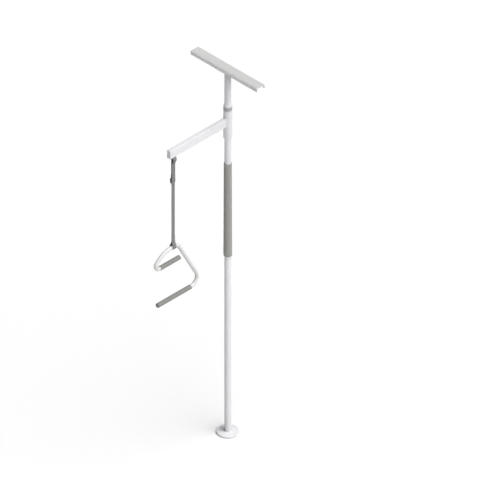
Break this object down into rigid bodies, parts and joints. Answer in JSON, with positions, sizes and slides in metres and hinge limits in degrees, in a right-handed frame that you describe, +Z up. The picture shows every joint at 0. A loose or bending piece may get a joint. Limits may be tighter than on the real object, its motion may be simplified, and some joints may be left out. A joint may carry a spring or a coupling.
{
  "type": "floor-to-ceiling transfer pole with trapeze",
  "caption": "Pole jammed between floor and ceiling by a jack screw, with a swivelling arm, webbing strap and buckle, and a hanging bent-tube trapeze handle.",
  "frame": {"origin": "on the pole's axis, at the underside of the floor plate's rubber pad", "axes": "+Z up the pole towards the ceiling, -Y along the arm, X along the ceiling channel"},
  "size_m": [0.513, 0.6307, 2.438],
  "materials": {
    "powder_white": "fine satin powder coat",
    "zinc_steel": "bright zinc plate",
    "grip_foam": "closed-cell foam, matt",
    "handle_foam": "closed-cell foam, matt",
    "plug_grey": "moulded plastic",
    "pad_rubber": "ribbed dark rubber",
    "pad_light": "light grey rubber",
    "nylon_grey": "turned nylon",
    "nylon_white": "moulded nylon",
    "webbing": "woven polyester webbing",
    "buckle_black": "black coated steel",
    "bronze": "bearing bronze"
  },
  "bodies": {
    "pole": {"base_pad": "pad_rubber", "base_plate": "powder_white", "base_spigot": "zinc_steel", "lower_tube": "powder_white", "upper_tube": "powder_white", "pole_joiner": "zinc_steel", "joiner_screws": "zinc_steel", "foam_grip": "grip_foam", "support_ring": "zinc_steel", "support_pin": "zinc_steel", "thrust_washer": "bronze", "stop_collar": "powder_white", "jack_nut": "zinc_steel"},
    "head": {"ceiling_channel": "powder_white", "ceiling_pad": "pad_light", "socket_cup": "zinc_steel"},
    "jack": {"jack_screw": "zinc_steel", "jack_washer": "bronze"},
    "arm": {"arm_sleeve": "powder_white", "arm_beam": "powder_white", "arm_end_cap": "nylon_white", "upper_bushing": "nylon_grey", "lower_bushing": "nylon_grey", "hanger_bracket": "zinc_steel", "hanger_pin": "zinc_steel", "pin_clips": "zinc_steel"},
    "roller": {"hanger_roller": "nylon_white"},
    "hanger": {"strap_anchor": "webbing"},
    "sling": {"strap_sling": "webbing", "buckle_frame": "buckle_black", "cam_pin": "zinc_steel", "cam_spring": "zinc_steel"},
    "cam": {"buckle_cam": "buckle_black"},
    "drop": {"strap_drop": "webbing"},
    "handle": {"handle_tube": "powder_white", "upper_grip": "handle_foam", "lower_grip": "handle_foam", "upper_plug": "plug_grey", "lower_plug": "plug_grey"}
  },
  "joints": [
    {"name": "head_slide", "type": "slide", "parent": "pole", "child": "head", "axis": [0, 0, 1], "range_m": [0, 0.07]},
    {"name": "jack_turn", "type": "hinge", "parent": "head", "child": "jack", "pos_m": [0, 0, 2.4], "axis": [0, 0, 1], "range_deg": [0, 6300]},
    {"name": "arm_swivel", "type": "hinge", "parent": "pole", "child": "arm", "pos_m": [0, 0, 2.065], "axis": [0, 0, 1], "continuous": true},
    {"name": "roller_spin", "type": "hinge", "parent": "arm", "child": "roller", "pos_m": [0, -0.4225, 2.0823], "axis": [0, 1, 0], "continuous": true},
    {"name": "strap_lean", "type": "hinge", "parent": "arm", "child": "hanger", "pos_m": [0, -0.4225, 2.0823], "axis": [1, 0, 0], "range_deg": [-10, 8]},
    {"name": "strap_swing", "type": "hinge", "parent": "hanger", "child": "sling", "pos_m": [0, -0.4225, 2.0468], "axis": [0, 1, 0], "range_deg": [-30, 30]},
    {"name": "cam_release", "type": "hinge", "parent": "sling", "child": "cam", "pos_m": [-0.0068, -0.4225, 1.892], "axis": [0, 1, 0], "range_deg": [0, 45], "stiffness_Nm_per_rad": 0.02, "springref_deg": -17.19},
    {"name": "strap_adjust", "type": "slide", "parent": "sling", "child": "drop", "axis": [0, 0, 1], "range_m": [0, 0.09]},
    {"name": "handle_swing", "type": "hinge", "parent": "drop", "child": "handle", "pos_m": [0, -0.4225, 1.45], "axis": [0, 1, 0], "range_deg": [-90, 90]}
  ],
  "couplings": [
    {"joint": "head_slide", "follows": "jack_turn", "m_per_rad": 0.00063662}
  ]
}
